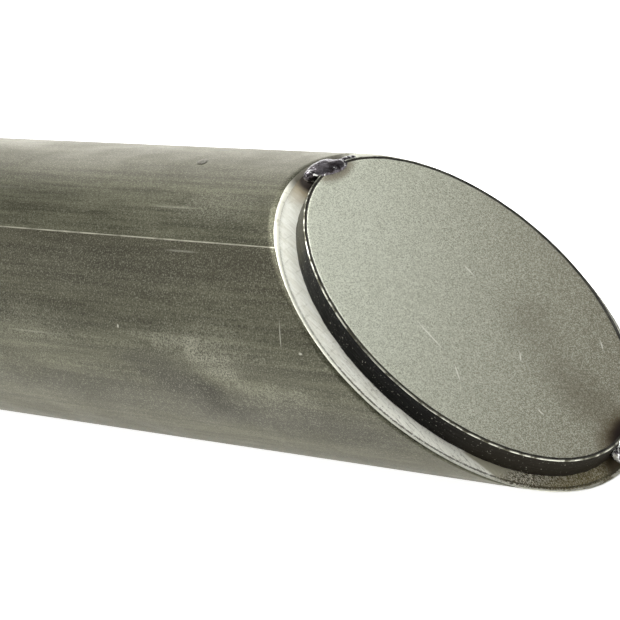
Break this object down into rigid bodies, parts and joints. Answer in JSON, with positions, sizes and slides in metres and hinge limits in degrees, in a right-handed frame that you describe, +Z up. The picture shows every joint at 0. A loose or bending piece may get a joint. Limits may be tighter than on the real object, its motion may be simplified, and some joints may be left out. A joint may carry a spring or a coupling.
{
  "type": "capped tube end",
  "caption": "Round steel tube with a 45 degree mitred end, closed by a flat oval plate that stands proud of the cut face and is tack welded at heel and toe.",
  "frame": {"origin": "centre of the open square-cut end of the tube, on the tube's axis", "axes": "+X along the tube's axis towards the capped end, +Z towards the tube's short side, the heel of the slanted cut, and +Y to the left when looking along +X with +Z up. The tube lies on its long side."},
  "size_m": [0.1212, 0.038, 0.0399],
  "materials": {
    "tube_steel": "cold drawn and oiled, with a slant face ground bare",
    "plate_steel": "satin rolled sheet with heat tint near the tacks",
    "weld_metal": "uncleaned dark glossy bead"
  },
  "bodies": {
    "root": {"tube": "tube_steel", "cap_plate": "plate_steel", "heel_tack_weld": "weld_metal", "toe_tack_weld": "weld_metal"}
  },
  "joints": []
}
